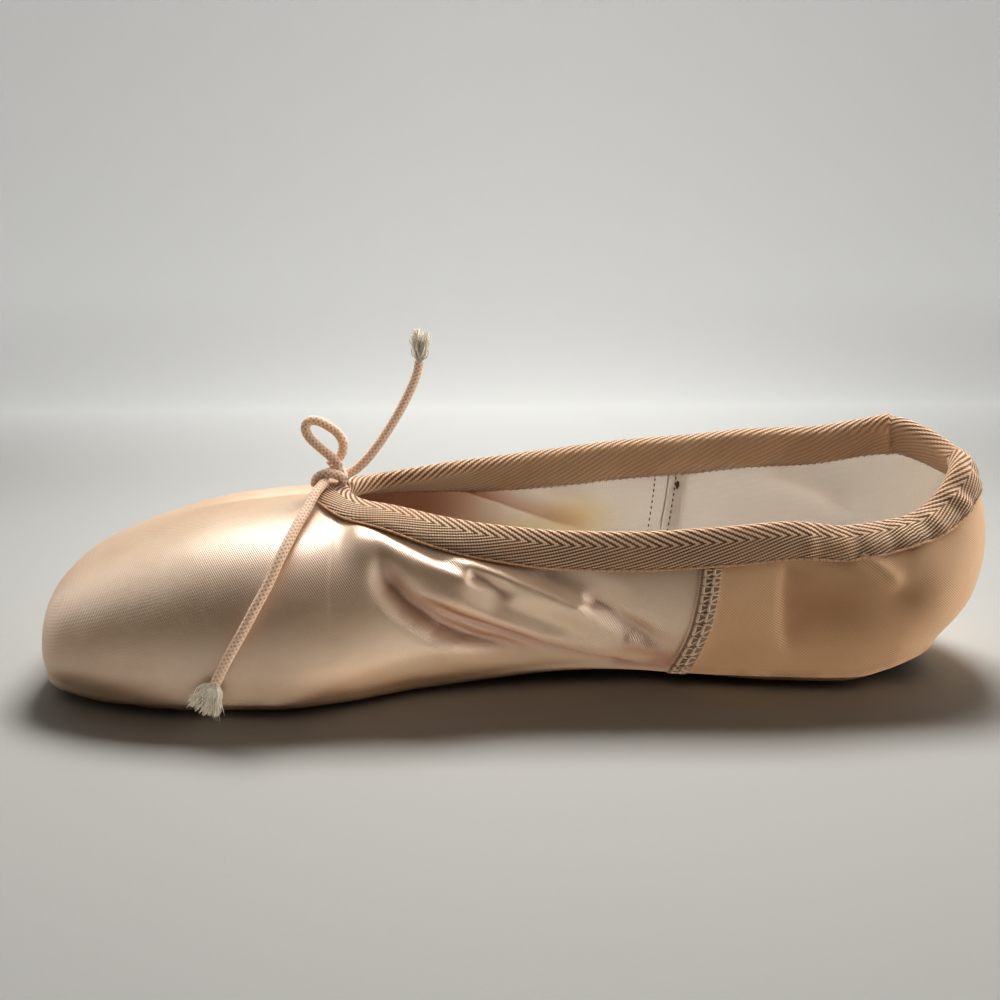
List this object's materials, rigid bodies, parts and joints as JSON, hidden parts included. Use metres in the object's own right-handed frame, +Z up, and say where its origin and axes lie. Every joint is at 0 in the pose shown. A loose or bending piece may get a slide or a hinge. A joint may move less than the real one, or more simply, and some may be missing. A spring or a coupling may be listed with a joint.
{
  "type": "ballet pointe shoe",
  "caption": "Satin ballet shoe with a stiff blocked toe, a low heel, a thin leather sole, a taped collar and a tied elastic drawstring.",
  "frame": {"origin": "on the floor under the middle of the shoe's outline, cords left out", "axes": "+X from the toe to the heel, +Y to the far side, +Z up"},
  "size_m": [0.2385, 0.0789, 0.0849],
  "materials": {
    "satin": "peach satin with a soft sheen",
    "sole_leather": "dark brown matte leather",
    "lining": "off-white cotton",
    "tape": "matte herringbone twill",
    "elastic": "braided matte cord",
    "fray": "loose cream fibres"
  },
  "bodies": {
    "root": {"upper": "satin", "outsole": "sole_leather", "insole": "lining", "binding": "tape", "drawstring_knot": "elastic", "drawstring_loop": "elastic", "drawstring_front_end": "elastic", "drawstring_back_end": "elastic", "drawstring_front_fray": "fray", "drawstring_back_fray": "fray"}
  },
  "joints": []
}
